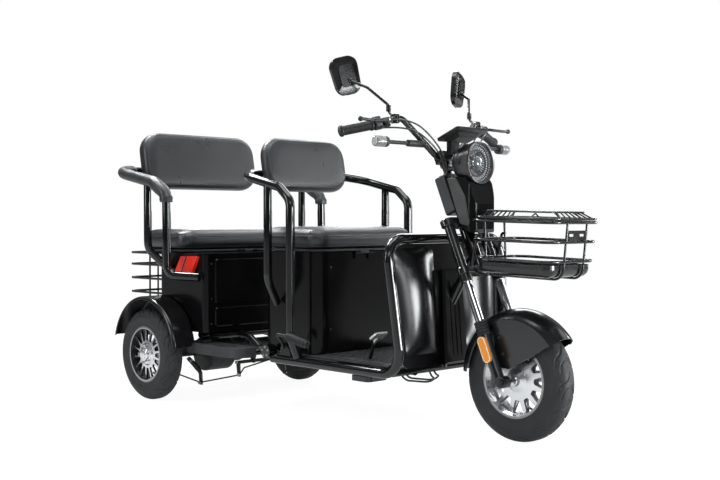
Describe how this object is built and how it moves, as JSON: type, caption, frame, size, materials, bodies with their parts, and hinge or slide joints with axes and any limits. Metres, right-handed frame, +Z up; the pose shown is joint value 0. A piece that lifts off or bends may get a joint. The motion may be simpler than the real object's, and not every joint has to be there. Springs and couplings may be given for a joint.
{
  "type": "electric passenger tricycle",
  "caption": "Three-wheeled electric vehicle with a steered front wheel, driver's seat, rear passenger bench, leg guard and front wire basket.",
  "frame": {"origin": "on the ground under the middle of the vehicle", "axes": "+Z up, front of the vehicle towards -Y, left side of the vehicle towards +X"},
  "size_m": [0.884, 2.1419, 1.3039],
  "materials": {
    "alloy": "polished",
    "amber": "gloss",
    "black_leather": "soft sheen",
    "black_plastic": "satin",
    "chrome": "polished",
    "clear": "clear",
    "gloss_black": "gloss",
    "gloss_panel": "gloss",
    "grey_panel": "satin",
    "mirror": "mirror",
    "red": "gloss",
    "rubber": "matte",
    "steel": "satin",
    "tyre": "matte"
  },
  "bodies": {
    "chassis": {"armrest_pads": "black_leather", "battery": "black_plastic", "brake_linkage": "gloss_black", "brake_pedal": "steel", "drive_motor": "black_plastic", "driver_backrest": "black_leather", "driver_hoop": "gloss_black", "floor_cables": "rubber", "floor_pan": "black_plastic", "guard_tubes": "gloss_black", "leg_shield": "gloss_panel", "main_frame": "gloss_black", "parking_brake": "black_plastic", "passenger_footboards": "black_plastic", "rear_axle": "gloss_black", "rear_backrest": "black_leather", "rear_box": "gloss_panel", "rear_fenders": "gloss_black", "rear_hoop": "gloss_black", "rear_rack": "gloss_black", "rear_springs": "gloss_black", "seat_box": "gloss_panel", "side_lamps": "red"},
    "steering": {"fork_stanchions": "chrome", "fork_legs": "gloss_black", "fork_boots": "rubber", "front_axle": "steel", "fork_clamps": "gloss_black", "fork_reflectors": "amber", "front_fender": "gloss_black", "handlebar": "gloss_black", "grips": "rubber", "brake_levers": "gloss_black", "switch_pods": "black_plastic", "mirrors": "gloss_panel", "mirror_glass": "mirror", "signal_stalks": "black_plastic", "signal_lenses": "clear", "headlamp_shell": "gloss_panel", "headlamp_lens": "clear", "headlamp_reflector": "chrome", "display": "black_plastic", "column_cover": "gloss_panel", "cover_panels": "grey_panel", "key_box": "black_plastic", "basket": "gloss_black", "basket_tray": "gloss_black", "control_cables": "rubber"},
    "front_wheel": {"front_tyre": "tyre", "front_rim": "alloy"},
    "rear_wheel_right": {"rear_tyre_right": "tyre", "rear_rim_right": "alloy"},
    "rear_wheel_left": {"rear_tyre_left": "tyre", "rear_rim_left": "alloy"},
    "driver_seat_lid": {"driver_seat": "black_leather", "driver_seat_base": "black_plastic"},
    "rear_seat_lid": {"rear_seat": "black_leather", "rear_seat_base": "black_plastic"},
    "basket_lid": {"basket_lid": "gloss_black"}
  },
  "joints": [
    {"name": "steering", "type": "hinge", "parent": "chassis", "child": "steering", "pos_m": [0, -0.822, 0.2055], "axis": [0, 0.3987, 0.9171], "range_deg": [-32, 32]},
    {"name": "front_wheel_spin", "type": "hinge", "parent": "steering", "child": "front_wheel", "pos_m": [0, -0.839, 0.2055], "axis": [1, 0, 0], "continuous": true},
    {"name": "rear_wheel_right_spin", "type": "hinge", "parent": "chassis", "child": "rear_wheel_right", "pos_m": [-0.3955, 0.745, 0.1855], "axis": [1, 0, 0], "continuous": true},
    {"name": "rear_wheel_left_spin", "type": "hinge", "parent": "chassis", "child": "rear_wheel_left", "pos_m": [0.3955, 0.745, 0.1855], "axis": [1, 0, 0], "continuous": true},
    {"name": "driver_seat_lid_hinge", "type": "hinge", "parent": "chassis", "child": "driver_seat_lid", "pos_m": [0, -0.101, 0.613], "axis": [1, 0, 0], "range_deg": [0, 70]},
    {"name": "rear_seat_lid_hinge", "type": "hinge", "parent": "chassis", "child": "rear_seat_lid", "pos_m": [0, 0.609, 0.6065], "axis": [1, 0, 0], "range_deg": [0, 70]},
    {"name": "basket_lid_hinge", "type": "hinge", "parent": "steering", "child": "basket_lid", "pos_m": [0, -0.73024, 0.7444], "axis": [-1, 0, 0], "range_deg": [0, 80]}
  ]
}
